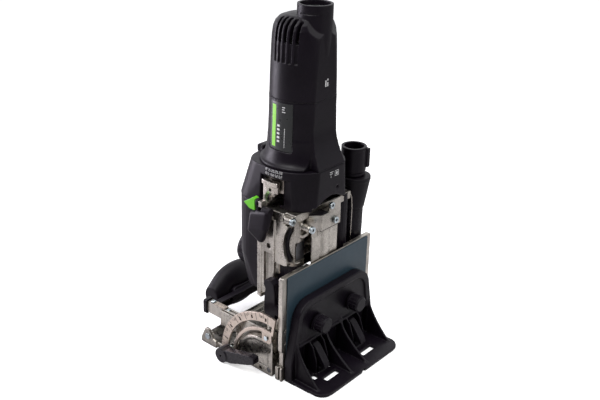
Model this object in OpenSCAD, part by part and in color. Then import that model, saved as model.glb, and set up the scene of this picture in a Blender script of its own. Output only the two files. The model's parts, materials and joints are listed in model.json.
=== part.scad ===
// Hand-held plunging joint cutter, standing upright on its front face.
// Frame: +Z runs from the front contact face (z = 0) back along the motor
// axis, -Y is the outward normal of the base plate, +X is the dust side.
// The origin is on the front face, on the plate's outer face, on the
// plane of symmetry. Left is -X and right is +X.

/* [Base plate] */
// Width of the base plate
plate_w = 130; // [128:1:132]
// Length of the base plate along the plunge direction
plate_h = 109; // [106:1:109]
// Thickness of the sliding pad on the plate
pad_t = 1; // [0.8:0.1:1]
// Bare margin round the sliding pad
pad_margin = 6; // [5:0.5:7]

/* [Motor grip] */
// Outer radius of the grip at the seam
grip_r = 30.2; // [29.8:0.1:30.6]
// Radius of the cable collar
collar_r = 15.6; // [15:0.1:16]
// Clear radius of the cable socket mouth
socket_r = 13.2; // [12.8:0.1:13.4]
// Number of vent slots on each side
vents = 5; // [3:1:6]
// Width of one vent slot
vent_w = 2.9; // [2.4:0.1:3.2]

/* [Dust port] */
// Outer radius of the dust spigot
spigot_r = 11.4; // [11:0.1:11.8]
// Bore radius of the dust spigot
spigot_bore = 9.6; // [9:0.1:9.8]

/* [Guides] */
// Radius of a guide rod
rod_r = 5; // [4.5:0.1:5.2]
// Running clearance, on the radius
fit = 0.06; // [0.03:0.01:0.09]

/* [Cutter] */
// Radius of the cutter
cutter_r = 2.5; // [2:0.5:4]

/* [Fence] */
// Outer radius of the tilt scale
scale_r = 60.5; // [60:0.5:61]
// Thickness of the fence plate
fence_t = 5.5; // [4.5:0.5:5.5]

/* [Hidden] */
$fn = 64;
motor_y = 37;       // motor axis
spindle_y = 9.5;    // cutter and spindle axis
hinge_y = 15;       // fence hinge
hinge_z = 6;
hinge_r = 2.5;
rod_x = 32;         // guide rods
rod_y = 17;
column_x = 52.75;   // fence columns
seam_z = 258;       // joint between the grip and the rear cap
top_z = 340;        // end of the cable collar

// ---------- helpers ----------
// box between two opposite corners
module box(low, high) { translate(low) cube(high-low); }
// cylinders along one axis, between two stations on it
module cyl_z(x, y, z0, z1, r, facets = 64) {
  translate([x, y, z0]) cylinder(h = z1-z0, r = r, $fn = facets);
}
module cyl_y(x, z, y0, y1, r, facets = 64) {
  translate([x, y1, z]) rotate([90, 0, 0]) cylinder(h = y1-y0, r = r, $fn = facets);
}
module cyl_x(y, z, x0, x1, r, facets = 64) {
  translate([x0, y, z]) rotate([0, 90, 0]) cylinder(h = x1-x0, r = r, $fn = facets);
}
// cylinders on the motor axis and on the spindle axis
module motor_cyl(z0, z1, r, facets = 64) { cyl_z(0, motor_y, z0, z1, r, facets); }
module spindle_cyl(z0, z1, r) { cyl_z(0, spindle_y, z0, z1, r); }
// extrude a (y, z) outline along x
module prism_x(x0, x1) {
  translate([x0, 0, 0]) rotate([90, 0, 90]) linear_extrude(x1-x0) children();
}
// extrude an (x, z) outline along y
module prism_y(y0, y1) {
  translate([0, y1, 0]) rotate([90, 0, 0]) linear_extrude(y1-y0) children();
}
// rectangle with rounded corners, between two opposite corners
module round_rect(x0, y0, x1, y1, r) {
  translate([x0+r, y0+r]) offset(r = r, $fn = 24) square([x1-x0-2*r, y1-y0-2*r]);
}
// the children and their mirror image across x = 0
module sides() {
  children();
  mirror([1, 0, 0]) children();
}
// solid of (radius, z) points turned about the motor axis
module turned(points) {
  translate([0, motor_y, 0]) rotate_extrude($fn = 96) polygon(points);
}
// partial turn of a (radius, z) outline about x = 0 and the given y
module arc_sweep(y, start, sweep) {
  translate([0, y, 0]) rotate([0, 0, start]) rotate_extrude(angle = sweep, $fn = 96) children();
}
// (y, z) points along an arc, steps + 1 of them
function arc_points(y, z, r, start, step, steps) =
  [for (i = [0:steps]) let(angle = start+i*step) [y+r*cos(angle), z+r*sin(angle)]];

// ---------- guide frame ----------
knob_x = 26;             // bracket knobs
knob_z = 51.8;
frame_screw_x = 52;
frame_screw_z = 42;
latch_x = 37;            // stop latches
latch_y = 11.5;
latch_r = 2.2;
release_y = 22;          // release lever pin
release_z = 54;
release_pin_r = 1.6;
duct_x = 54;             // front end of the dust duct
duct_y = 17;
mouth_x = 54.6;          // rear end of the dust duct
mouth_y = 17.6;
mouth_r = 9.4;
spigot_x = 56;
spigot_y = 19;
collar_top_r = spigot_r+0.9;

// (y, z) outline
release_outline = [[17.2, 51.4], [17.2, 61.2], [12.8, 61.2], [13.4, 68], [17.3, 71], [17.4, 80],
  [19, 92], [23, 95], [30, 94], [32, 88], [30.5, 80], [31, 62], [29.5, 54.5], [24, 51.4]];

module base_plate() {
  color([0.72, 0.69, 0.65]) difference() {
    union() {
      prism_y(0, 4.5) round_rect(-plate_w/2, 31, plate_w/2, plate_h, 2);
      prism_y(0, 4.5) translate([-plate_w/2+2, 15.2]) square([plate_w-4, 24]);
    }
    // relief for the spindle nose
    box([-22, 1.6, 15], [22, 5, plate_h+1]);
    box([-27, 1.6, 66], [27, 5, plate_h+1]);
    // threads for the two bracket knobs
    for (s = [-1, 1]) cyl_y(s*knob_x, knob_z, -1, 6, 2.6);
    // edge holes
    for (z = [40, 54]) cyl_y(-61.2, z, -1, 2, 1.3, 24);
    // frame screw holes
    for (s = [-1, 1]) cyl_y(s*frame_screw_x, frame_screw_z, -1, 6, 2.05);
  }
}
module base_pad() {
  color([0.26, 0.33, 0.38]) difference() {
    prism_y(-pad_t, 0)
      round_rect(-plate_w/2+pad_margin, 20, plate_w/2-pad_margin, plate_h-1.2, 1.2);
    for (s = [-1, 1]) {
      cyl_y(s*knob_x, knob_z, -3, 1, 4);
      cyl_y(s*frame_screw_x, frame_screw_z, -3, 1, 4.2);
    }
  }
}
module front_bar() {
  color([0.70, 0.67, 0.62]) difference() {
    union() {
      box([-44, 4.6, 0], [44, 18, 10]);
      box([-44, -0.4, 0], [44, 4.7, 15]);
      // arm, foot and rear lug
      sides() box([43.9, 0, 0], [62.5, 4.4, 15]);
      sides() prism_y(-0.6, 7) round_rect(60, 0, 66, 14.5, 1.2);
      sides() box([24, 4.6, 9.9], [30, 8, 27]);
    }
    // cutter slot
    hull() for (s = [-1, 1]) cyl_z(s*10.4, spindle_y, -1, 11, 5, 32);
    box([-18, 1.6, 9], [18, 14.4, 16]);
    // groove across each foot
    sides() box([63.6, 1.4, -1], [67, 3.2, 16]);
    // latch guides
    for (s = [-1, 1]) cyl_z(s*latch_x, latch_y, -1, 12, latch_r+fit);
  }
}
module frame_casting() {
  color([0.66, 0.63, 0.58]) difference() {
    union() {
      box([-58, 4.6, 30.5], [58, 25, 46]);
      sides() prism_x(47.2, 58)
        polygon([[4.6, 23.5], [4.6, 60], [12, 60], [16, 49.8], [25, 49.8], [25, 23.5]]);
      // dust side socket
      cyl_z(duct_x, duct_y, 46, 61.8, 10.2);
      sides() cyl_z(rod_x, rod_y, 28, 48, 7.6);
      box([-34, 18, 33], [34, 26.5, 43]);
      // ear of the release lever
      box([-47.3, 17, 44], [-45.4, 26, 58.5]);
    }
    // passage for the spindle nose
    hull() for (s = [-1, 1]) cyl_z(s*11, spindle_y, 20, 60, 10, 32);
    box([-21, 4, 20], [21, spindle_y, 60]);
    for (s = [-1, 1]) cyl_z(s*rod_x, rod_y, 20, 60, rod_r+0.02);
    // column sockets
    sides() box([49.45, 9, 26.45], [56.05, 40, 38.55]);
    // dust passage
    cyl_z(duct_x, duct_y, 47, 70, 7.5);
    // screw bores
    for (s = [-1, 1]) cyl_y(s*frame_screw_x, frame_screw_z, 4, 8.5, 2.05);
    // window that lets the chips into the dust passage
    box([42, 11, 48.5], [54, 22, 58]);
    cyl_x(release_y, release_z, -48, -45, release_pin_r+fit);
    // open side pockets
    sides() box([57, 6.5, 41], [59, 22, 47]);
  }
}
module guide_rod(side) {
  rod_end = 127;
  chamfer = 1;
  color([0.82, 0.82, 0.84]) union() {
    cyl_z(side*rod_x, rod_y, 28.5, rod_end, rod_r);
    translate([side*rod_x, rod_y, rod_end]) cylinder(h = chamfer, r1 = rod_r, r2 = rod_r-chamfer);
  }
}
// point on the wire surface: turn along the helix, angle round the wire
function coil_point(turn, angle, radius, wire_r, z0, pitch) =
  [(radius + wire_r*cos(angle))*cos(360*turn),
   (radius + wire_r*cos(angle))*sin(360*turn),
   z0 + pitch*turn + wire_r*sin(angle)];
// coil spring swept along a helix; side faces are split into triangles
module coil(radius, wire_r, z0, z1, turns) {
  per_turn = 14;
  ring = 6;
  count = floor(turns*per_turn);
  pitch = (z1-z0-2*wire_r)/turns;
  points = [for (k = [0:count]) for (i = [0:ring-1])
    coil_point(k/per_turn, 360*i/ring, radius, wire_r, z0+wire_r, pitch)];
  faces = concat([[for (i = [0:ring-1]) i]],
    [for (k = [0:count-1]) for (i = [0:ring-1])
      [k*ring+i, (k+1)*ring+i, (k+1)*ring+(i+1)%ring]],
    [for (k = [0:count-1]) for (i = [0:ring-1])
      [k*ring+i, (k+1)*ring+(i+1)%ring, k*ring+(i+1)%ring]],
    [[for (i = [ring-1:-1:0]) count*ring+i]]);
  polyhedron(points, faces);
}
module plunge_spring(side) {
  color([0.55, 0.55, 0.58]) translate([side*rod_x, rod_y, 0])
    coil(radius = 6.3, wire_r = 0.65, z0 = 48.2, z1 = 87.8, turns = 8);
}
module fence_column(side) {
  x = side*column_x;
  half_w = 3.25;
  color([0.74, 0.72, 0.68]) difference() {
    box([x-half_w, 9.1, 26.5], [x+half_w, 108, 38.5]);
    // long groove on the rear face
    box([x-1.2, 62, 37.3], [x+1.2, 98, 39]);
    cyl_y(x, 32.5, 98, 110, 1.65, 32);
  }
}
module column_caps() {
  color([0.12, 0.12, 0.13]) sides() prism_y(108.1, 112.5) round_rect(47.6, 24.6, 58, 40.2, 2);
}
module height_scale() {
  color([0.80, 0.80, 0.80]) difference() {
    box([-55.6, 84.5, 38.55], [-49.9, 99.5, 39.4]);
    // graduations, long and short in turn
    for (i = [0:6])
      box([-55.7, 86+i*2, 39.1], [i % 2 == 0 ? -51.6 : -53.2, 86.5+i*2, 40]);
  }
}
module handle_bracket() {
  color([0.20, 0.20, 0.21]) difference() {
    union() {
      box([-49.4, 100, 27], [49.4, 107.6, 35.5]);
      prism_y(107.5, 112) round_rect(-20, 20, 20, 38, 5);
    }
    // lightening pockets
    for (s = [-1, 1]) box([s*36-8, 99, 29], [s*36+8, 105, 34]);
  }
}
module handle_grip() {
  color([0.14, 0.13, 0.15]) difference() {
    hull() {
      translate([0, 124, 32]) scale([1.5, 0.66, 1]) sphere(r = 24, $fn = 40);
      translate([0, 122, 30]) rotate([0, 90, 0]) scale([1, 0.85, 1])
        cylinder(h = 76, r = 11, center = true, $fn = 32);
    }
    // seat on the bracket
    prism_y(100, 112.2) translate([-20.2, 19.8]) square([40.4, 18.4]);
  }
}
module dust_duct() {
  color([0.11, 0.11, 0.12]) difference() {
    union() {
      cyl_z(duct_x, duct_y, 62, 66, 12.2);
      hull() {
        cyl_z(duct_x, duct_y, 66, 67, 10.6, 32);
        cyl_z(mouth_x, mouth_y, 132, 133, 11.4, 32);
      }
      cyl_z(mouth_x, mouth_y, 132.5, 137, 11.4);
    }
    cyl_z(duct_x, duct_y, 60, 75, 8.6);
    hull() {
      cyl_z(duct_x, duct_y, 74, 75, 8.6, 32);
      cyl_z(mouth_x, mouth_y, 131, 132, mouth_r, 32);
    }
    cyl_z(mouth_x, mouth_y, 130, 139, mouth_r);
  }
}
module dust_sleeve() {
  rim_x = 56.6;
  rim_y = 16.2;
  color([0.13, 0.13, 0.14]) difference() {
    union() {
      hull() {
        cyl_z(mouth_x, mouth_y, 137.1, 138, 12.2, 32);
        cyl_z(rim_x, rim_y, 165, 166, 14.6, 32);
      }
      cyl_z(rim_x, rim_y, 165.5, 169, 14.9);
    }
    cyl_z(mouth_x, mouth_y, 136, 146, mouth_r);
    cyl_z(spigot_x, spigot_y, 144, 172, spigot_r+0.05);
  }
}
module dust_spigot() {
  color([0.10, 0.10, 0.11]) difference() {
    union() {
      cyl_z(spigot_x, spigot_y, 146.2, 172, spigot_r);
      translate([spigot_x, spigot_y, 172]) cylinder(h = 2.5, r1 = spigot_r, r2 = collar_top_r);
      cyl_z(spigot_x, spigot_y, 174.4, 198.5, collar_top_r);
      // raised locating rib
      box([spigot_x+4.4, spigot_y-13.3, 178], [spigot_x+8.6, spigot_y-8, 197]);
      cyl_z(spigot_x, spigot_y, 170.4, 172.2, spigot_r+0.7);
    }
    cyl_z(spigot_x, spigot_y, 140, 200, spigot_bore);
  }
}
// curved gusset between the upright and the foot flange
module bracket_gusset(x, thickness, top, y_out, y_in) {
  plate_y = -9.5;
  prism_x(x-thickness/2, x+thickness/2) polygon([[y_in, 2], [y_in, top], [plate_y, top],
    for (i = [1:8]) let(t = i/8) [plate_y-(plate_y-y_out)*pow(t, 1.7), top-(top-3)*t],
    [y_out, 2]]);
}
// outer shape of the upright plate, in (x, z)
module bracket_upright() {
  hull() {
    translate([-34, 60]) circle(r = 20, $fn = 40);
    translate([34, 60]) circle(r = 20, $fn = 40);
    translate([-56, 20]) circle(r = 6, $fn = 32);
    translate([56, 20]) circle(r = 6, $fn = 32);
    translate([-62, 0]) square([124, 2]);
  }
}
// block, hook and two ribs above one flange window
module bracket_clip(x) {
  box([x-5.5, -20, 2], [x+5.5, -3.5, 9]);
  prism_x(x-4, x+4) polygon([[-3.5, 32], [-9.9, 30], [-13, 28], [-24, 14], [-26, 9], [-22, 9],
    [-9.9, 24], [-3.5, 24]]);
  for (d = [-8.2, 8.2]) prism_x(x+d-0.8, x+d+0.8)
    polygon([[-3.5, 34], [-9.9, 34], [-14, 30], [-19, 16], [-19, 2], [-3.5, 2]]);
}
// L-shaped bracket with gussets
module support_bracket() {
  clip_x = 28;
  color([0.13, 0.12, 0.14]) difference() {
    union() {
      difference() {
        prism_y(-10, -1.2) bracket_upright();
        // recess inside the rim
        prism_y(-11, -8) hull() {
          translate([-31, 57]) circle(r = 16.5, $fn = 40);
          translate([31, 57]) circle(r = 16.5, $fn = 40);
          translate([-51, 37]) square([102, 2]);
        }
        // open front pockets between the ribs
        for (x = [-33.5, 33]) box([x-20, -11, 4], [x+20, -4, 34]);
        box([-10.8, -11, 4], [9.8, -4, 34]);
      }
      // foot flange
      linear_extrude(3) hull() {
        translate([-62, -8]) square([124, 2]);
        translate([-49, -36]) circle(r = 12, $fn = 40);
        translate([49, -36]) circle(r = 12, $fn = 40);
      }
      for (x = [-12, 11])
        bracket_gusset(x, thickness = 2.4, top = 38, y_out = -44, y_in = -3.5);
      for (s = [-1, 1])
        bracket_gusset(s*55, thickness = 2.6, top = 46, y_out = -38, y_in = -5);
      for (s = [-1, 1]) bracket_clip(s*clip_x);
    }
    // windows in the flange
    for (s = [-1, 1]) box([s*clip_x-9.5, -33.5, -1], [s*clip_x+9.5, -27, 3.9]);
    box([-44, -24, -1], [-38, -17, 4]);
    box([-19.4, -21, -1], [-16, -15, 4]);
    // notch in the outer edge of the flange
    box([-2, -49, -1], [2, -46.6, 4]);
    // knob screw holes
    for (s = [-1, 1]) cyl_y(s*knob_x, knob_z, -12, 0, 2.7);
    // heads of the frame screws
    for (s = [-1, 1]) cyl_y(s*frame_screw_x, frame_screw_z, -5, 0, 4.4);
  }
}
module frame_screws() {
  color([0.75, 0.76, 0.78]) for (s = [-1, 1]) difference() {
    union() {
      cyl_y(s*frame_screw_x, frame_screw_z, -0.05, 8.4, 2);
      cyl_y(s*frame_screw_x, frame_screw_z, -2.4, -0.02, 3.9);
    }
    cyl_y(s*frame_screw_x, frame_screw_z, -3, -0.9, 1.6, 6);
  }
}
module release_lever() {
  color([0.10, 0.10, 0.11]) difference() {
    union() {
      prism_x(-56, -47.4) polygon(release_outline);
      // pivot pin
      cyl_x(release_y, release_z, -47.5, -45.4, release_pin_r);
    }
    // finger scallop
    cyl_x(37, 84, -60, -40, 7.4);
  }
}
module knob(side) {
  head_r = 8.2;
  flutes = 16;
  color([0.10, 0.10, 0.11]) union() {
    cyl_y(side*knob_x, knob_z, -10.2, 4.4, 2.55);
    cyl_y(side*knob_x, knob_z, -10.3, -8.15, 6.6);
    translate([side*knob_x, -10.2, knob_z]) rotate([90, 0, 0]) difference() {
      union() {
        cylinder(h = 10.5, r = head_r);
        cylinder(h = 2, r = head_r+1);
        translate([0, 0, 10.4]) cylinder(h = 1.2, r1 = head_r, r2 = 6.6);
      }
      for (i = [0:flutes-1]) rotate(i*360/flutes)
        translate([8.9, 0, 2]) cylinder(h = 11, r = 1.1, $fn = 16);
    }
  }
}
module stop_latch(side) {
  color([0.78, 0.76, 0.72]) union() {
    cyl_z(side*latch_x, latch_y, 0.1, 16, latch_r);
    cyl_z(side*latch_x, latch_y, 16, 18, latch_r+1);
  }
}

// ---------- fence ----------
angle_y = 63.5;          // angle clamp axis
angle_z = 7.7;
height_y = 50;           // height clamp axis
height_z = 36;
scale_screw_y = 16;
scale_screw_z = 42.6;
foot_screw_y = 94.5;
foot_screw_z = 10;
cheek_x = 65.9;          // outer face of the fence cheeks

// (y, z) outlines
carriage_ear = [[9.2, 1.2], [9.2, 10.5], [20, 15], [24, 22], [30, 22], [30, 6.4], [21, 6.4],
  [20, 1.2]];
fence_cheek = [[11, 0.6], [11, 33], [21.5, 37.4],
  each arc_points(27, hinge_z, 30.8, 94, -8.8, 10),
  [57, 5.4], [104, 5.4], [104, 0], [12.5, 0]];
scale_tab = [[11, 30], [11.4, 46.5], [20, 47.5], [21.5, 37], [21.5, 30]];
fence_foot = [[84, 0], [105, 0], [105, 5], [99, 18], [94, 18], [88, 9], [84, 7]];
cheek_relief = [[16.5, 9], [53, 9], [49.5, 21], [43, 28.6], [34, 33], [16.5, 33.4]];
height_lever_outline = [[43.5, 32], [56.5, 32], [64, 21], [69.5, 11.5], [68, 6], [60, 6],
  [53.5, 13], [43.5, 30]];
angle_lever_outline = [[60, 14.4], [66, 14.6], [67, 2], [52, 3.5], [28, 13], [20.5, 17],
  [21, 23.5], [27, 23.5], [44, 19]];

module fence_carriage() {
  color([0.62, 0.60, 0.56]) difference() {
    union() {
      box([-58, 26, 6.4], [58, 66, 22]);
      sides() prism_x(46.2, 58) polygon(carriage_ear);
      sides() box([47.2, 30, 21.9], [58.3, 57, 41.5]);
      // cheeks along the outer side of the columns
      sides() box([56.2, 40, 21.9], [58.3, 87.6, 37.6]);
      sides() box([56.2, 56, 37], [58.3, 68, 41.5]);
      // stud boss of the angle clamp
      cyl_x(angle_y, angle_z, -63.9, -58.5, 5.2);
      box([-59, 59, 6.4], [-57, 68, 14]);
      // height clamp boss
      cyl_x(height_y, height_z, 57.5, 65.9, 6.3);
    }
    // column passages
    sides() box([49.4, 28, 26.4], [56.1, 60, 38.6]);
    sides() cyl_x(hinge_y, hinge_z, 45, 59, hinge_r+fit);
    box([-44, 20, 11], [44, 60, 28]);
    cyl_x(angle_y, angle_z, -70, -50, 3.02);
    cyl_x(height_y, height_z, 56, 70, 3.05);
    // guide channel of the thickness slide
    box([-30, 59.5, 15.9], [50, 67, 28]);
  }
}
module angle_clamp_stud() {
  color([0.75, 0.76, 0.78]) union() {
    cyl_x(angle_y, angle_z, -76, -58.45, 3);
    cyl_x(angle_y, angle_z, -70.6, -68.7, 6.4);
  }
}
module hinge_pins() {
  color([0.30, 0.30, 0.31]) sides() cyl_x(hinge_y, hinge_z, 46.5, 66, hinge_r);
}
module height_clamp_lever() {
  color([0.10, 0.10, 0.11]) union() {
    cyl_x(height_y, height_z, 57, 67, 3);
    cyl_x(height_y, height_z, 66.1, 73, 7.4);
    prism_x(66.4, 72) polygon(height_lever_outline);
  }
}
module thickness_slide() {
  step = 8;
  color([0.60, 0.60, 0.60]) union() {
    box([-28, 60, 16], [22, 65.8, 19]);
    for (i = [0:5])
      box([-28+i*step, 60, 18.9], [-28+(i+1)*step, 65.8, 20+i*0.75]);
    box([20, 60, 16], [26, 65.8, 26]);
  }
}
module fence_plate() {
  color([0.66, 0.63, 0.58]) difference() {
    union() {
      box([-58.4, 23.6, 0], [58.4, 104, fence_t]);
      sides() prism_x(58.35, cheek_x) polygon(fence_cheek);
      // tab that carries the scale
      prism_x(-cheek_x, -58.35) polygon(scale_tab);
      // edge thickened towards +Z
      box([-58, 99, 0], [58, 104, 7.2]);
      // side foot
      prism_x(-68.6, -65.8) polygon(fence_foot);
    }
    sides() cyl_x(hinge_y, hinge_z, 57, 70, hinge_r+fit);
    // viewing window
    box([-14, 60, -1], [14, 92, 7]);
    box([-46, 23, -1], [46, 25.5, 7]);
    // clear the carriage stud boss through the tilt
    cyl_x(angle_y, angle_z, -66, -58.3, 6.4);
    box([-60, 57, 5], [-58.3, 70, 12]);
    cyl_x(26, 3.4, -70, -62, 1.9, 24);
    // screw holes of the scale and of the side foot
    cyl_x(scale_screw_y, scale_screw_z, -70, -61.5, 1.56, 24);
    cyl_x(foot_screw_y, foot_screw_z, -70, -66.4, 1.56, 24);
    // shallow recess in the left cheek
    prism_x(-66.1, -65) polygon(cheek_relief);
  }
}
// sector of a flat ring about the fence hinge
module ring_sector(r_in, r_out, start, end, steps) {
  step = (end-start)/steps;
  polygon(concat(arc_points(hinge_y, hinge_z, r_out, start, step, steps),
    arc_points(hinge_y, hinge_z, r_in, end, -step, steps)));
}
module tilt_scale() {
  color([0.72, 0.66, 0.60]) difference() {
    prism_x(-68.5, -66.1) difference() {
      union() {
        ring_sector(42, scale_r, -5, 99.4, 27);
        polygon([[9.8, 62], [9.8, 40], [12.2, 37.2], [20.4, 37.2], [21.8, 38.8], [21.8, 52]]);
      }
      // arc slot
      ring_sector(45.1, 51.9, -2.2, 96.3, 25);
      // detents
      for (p = arc_points(0, 0, 1, 14, 18.5, 4))
        translate([hinge_y, hinge_z]+55.6*p) rotate(atan2(p[1], p[0]))
          square([3.6, 1.8], center = true);
    }
    cyl_x(scale_screw_y, scale_screw_z, -70, -66, 1.56, 24);
  }
}
module fence_screws() {
  color([0.78, 0.80, 0.82]) {
    cyl_x(foot_screw_y, foot_screw_z, -70.2, -68.65, 3.1, 32);
    cyl_x(foot_screw_y, foot_screw_z, -68.7, -66.5, 1.5, 24);
    cyl_x(scale_screw_y, scale_screw_z, -69.9, -68.55, 2.2, 32);
    cyl_x(scale_screw_y, scale_screw_z, -68.6, -62, 1.5, 24);
  }
}
module angle_clamp_lever() {
  color([0.09, 0.08, 0.10]) difference() {
    union() {
      cyl_x(angle_y, angle_z, -82, -70.8, 7.5);
      prism_x(-81, -73.5) polygon(angle_lever_outline);
    }
    cyl_x(angle_y, angle_z, -76.1, -70, 3.06);
    cyl_x(angle_y, angle_z, -83, -80, 1.2, 24);
  }
}

// ---------- motor unit ----------
housing_z = 159.9;       // rear face of the gear housing
wall_x = 36.1;           // half width of its cross walls
chamber_x = 23.5;        // half width of the gear chamber
chamber_z = 151.9;       // rear end of the gear chamber
boss_r = 7.9;            // boss that the rocker arm swings on
curve_y = -14;           // centre of the curved edge of the left wall
curve_z = 130;
long_screw_x = -29.2;    // screw in the long boss
long_screw_z = 146.1;
wall_screw_x = -42;      // screw in the left wall
wall_screw_z = 154.2;
cover_screws = [[4.1, 145.2], [-2.3, 161.8]]; // x, z
lock_y = 42;             // spindle lock axis
lock_z = 145;
dial_z = 83;             // width dial axis
cable_y = 25.5;          // cable collar axis
selector_x = -50;        // depth selector axes, along y
selector_z = 160.5;
lock_lever_z = 166;
lock_lever_r = 2.1;

// (y, z) outlines
side_wall = [[28, 74], [28, housing_z], [49.5, housing_z], [49.5, 66], [44, 65], [44, 70],
  [35, 74]];
left_edge = [[28.2, 108.2], [28.2, housing_z], [19, housing_z], [19, 150.5], [13.6, 149.2],
  each arc_points(curve_y, curve_z, 32.7, 33, -8.2, 8),
  [13.2, 109.6], [16.4, 108.2]];

// (x, y) outlines of the gear cover
cover_shell = [[-23.4, 11.8], [-23.4, 9.5], [-15, -1.6], [12.6, -1.6], [23.4, 10.5],
  [23.4, 13.8], [22, 13.8], [22, 11], [12, 0.1], [-14.3, 0.1], [-21.9, 10.1], [-21.9, 11.8]];
cover_end = [[-23.4, 7.8], [-23.4, 9.5], [-15, -1.6], [12.6, -1.6], [21, 7.8]];
cover_ledge = [[-22.6, 9], [-15, -1.6], [12.6, -1.6], [22, 9.2], [19.9, 9.2], [14.2, 3.2],
  [-15.4, 3.2], [-21, 9]];
cover_panel = [[-23.4, 3.3], [-23.4, 1.75], [-12.4, 1.75], [-12, 2.4], [-9.6, 2.4], [-9.2, 2.1],
  for (i = [0:8]) let(angle = 180-i*22.5) [-3.2+5.8*cos(angle), 2.4-0.65*sin(angle)],
  [4.4, 2.4], [14, 2.4], [22, 12], [22, 14.2], [20.5, 14.2], [20.5, 12.4], [13.4, 3.3]];

// (radius, z) profiles about the motor axis
grip_profile = [[0, 197], [38.4, 197], [38.4, 198.6],
  for (i = [0:10]) let(angle = i*9) [31.4+6.6*(1-sin(angle)), 222-22.4*cos(angle)],
  [31, 224], [30.6, 236], [grip_r, 250], [grip_r, seam_z], [0, seam_z]];
cap_profile = [[0, seam_z+0.1], [grip_r-0.1, seam_z+0.1], [29.7, 275], [29.2, 290], [28.7, 303],
  [28.2, 312], [27.3, 318.5], [25.4, 323.5], [22, 327], [16, 329.2], [8, 330], [0, 330]];
label_profile = [[30.05, 212.3], [31.35, 212.3], [31.2, 224], [30.75, 236], [30.45, 250],
  [30.45, 256.2], [30.05, 256.2]];

module gear_housing() {
  color([0.68, 0.65, 0.60]) difference() {
    union() {
      sides() prism_x(36, 46) polygon(side_wall);
      sides() cyl_z(44, 45, 70, 158, 3.1, 32);
      sides() cyl_z(39, 28, 96, 159.8, 4, 32);
      // +Y wall and rear wall
      box([-wall_x, 49, 92], [wall_x, 52, housing_z]);
      box([-40, 8, 152], [40, 49.5, housing_z]);
      box([-wall_x, 49, 152], [wall_x, 52, housing_z]);
      // cross wall that carries the swing boss
      box([-wall_x, 28, 100], [wall_x, 52, 107]);
      // bosses over the guide rods
      sides() cyl_z(rod_x, rod_y, 88, 157, 8.6);
      sides() box([30, 17, 92], [40, 49.5, 157]);
      // webs towards the plate, the left one stepped
      prism_x(23.6, 30) polygon([[14, 104], [14, 157], [30, 157], [30, 104]]);
      prism_x(-30, -23.6)
        polygon([[10, 104], [10, 132], [12, 136], [12, 157], [30, 157], [30, 104]]);
      // curved edge of the left wall, following the seam
      prism_x(-44.6, -38.4) polygon(left_edge);
      // screw bosses
      cyl_y(wall_screw_x, wall_screw_z, 10.8, 22, 3.4, 32);
      cyl_y(long_screw_x, long_screw_z, -1.5, 14, 3.5, 32);
      // lug in front of the long boss
      box([-33, 5, 136], [-24, 14, 139.4]);
    }
    // gear chamber
    box([-chamber_x, 2, 90], [chamber_x, 28.1, chamber_z]);
    box([-chamber_x, 28, 107], [chamber_x, 48.9, chamber_z]);
    box([-chamber_x, 2, 90], [chamber_x, 48.9, 100]);
    motor_cyl(139.5, chamber_z, 19.4);
    // shaft passage
    motor_cyl(150, 170, 5.6);
    // rod bores and bush seats
    for (s = [-1, 1]) {
      cyl_z(s*rod_x, rod_y, 80, 156.2, rod_r+0.6);
      cyl_z(s*rod_x, rod_y, 87, 101, 7.02);
    }
    // curved seam
    prism_x(-43, -38.2) difference() {
      translate([curve_y, curve_z]) circle(r = 32.1, $fn = 96);
      translate([curve_y, curve_z]) circle(r = 28.6, $fn = 96);
      polygon([[-60, 60], [-60, 200], [7, 200], [7, 60]]);
    }
    // hollow beside the long boss
    box([-37, 4, 111], [-20, 10.9, 131]);
    // room for the hub of the depth selector
    box([-47, 18, 153.5], [-43.9, 41, 161]);
    box([-47, 24, 151], [-43.9, 31, 154]);
    // square hole and front hollow on each side
    sides() box([43, 33, 121], [48, 37, 125.5]);
    sides() box([43.2, 31, 80], [47, 40.5, 116]);
    // screw bores, and the seat of one head
    cyl_y(wall_screw_x, wall_screw_z, 9, 20, 1.65, 24);
    cyl_y(wall_screw_x, wall_screw_z, 6, 10.8, 3.8, 32);
    cyl_y(long_screw_x, long_screw_z, -3, 8, 1.65, 24);
    sides() cyl_x(37, 150, 43.5, 47, 2.6, 24);
    // spindle lock bore
    cyl_x(lock_y, lock_z, 20, 50, 3.06);
  }
  // boss of the swing arm, standing on the cross wall
  color([0.68, 0.65, 0.60]) motor_cyl(106.9, 138.5, boss_r);
}
module gear_cover() {
  color([0.72, 0.69, 0.64]) difference() {
    union() {
      // rear box with slanted cheeks, open towards the gears
      translate([0, 0, 139.2]) linear_extrude(15.6) polygon(cover_shell);
      // rear wall of the box
      translate([0, 0, 152.2]) linear_extrude(2.6) polygon(cover_end);
      // ledge between the box and the front panel
      translate([0, 0, 139.2]) linear_extrude(1.8) polygon(cover_ledge);
      // front panel
      translate([0, 0, 103]) linear_extrude(36.4) polygon(cover_panel);
      // tongue that reaches back under the shroud
      box([-4, -1.6, 154], [12.6, 0.1, 165.4]);
    }
    for (p = cover_screws) cyl_y(p[0], p[1], -3, 1, 1.3, 24);
    // notch at the left of the ledge
    box([-24, 1, 134.4], [-15.6, 2.3, 140]);
    // cheeks stop in front of the rear wall of the housing
    box([-30, 7.85, 151.85], [30, 20, 160]);
  }
}
module guide_bushes() {
  color([0.70, 0.52, 0.28]) for (s = [-1, 1]) difference() {
    cyl_z(s*rod_x, rod_y, 88, 101, 7);
    cyl_z(s*rod_x, rod_y, 87, 102, rod_r+fit);
  }
}
module cover_outline(inset) {
  hull() {
    for (s = [-1, 1]) {
      translate([s*17.5, 64-inset*0.1, 100]) cylinder(h = 60, r = 24-inset, $fn = 32);
      translate([s*22, 60, 68+inset]) cylinder(h = 10, r = 17-inset, $fn = 32);
    }
    box([-41.5+inset, 49.5, 72+inset], [41.5-inset, 56, 160]);
  }
}
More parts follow.
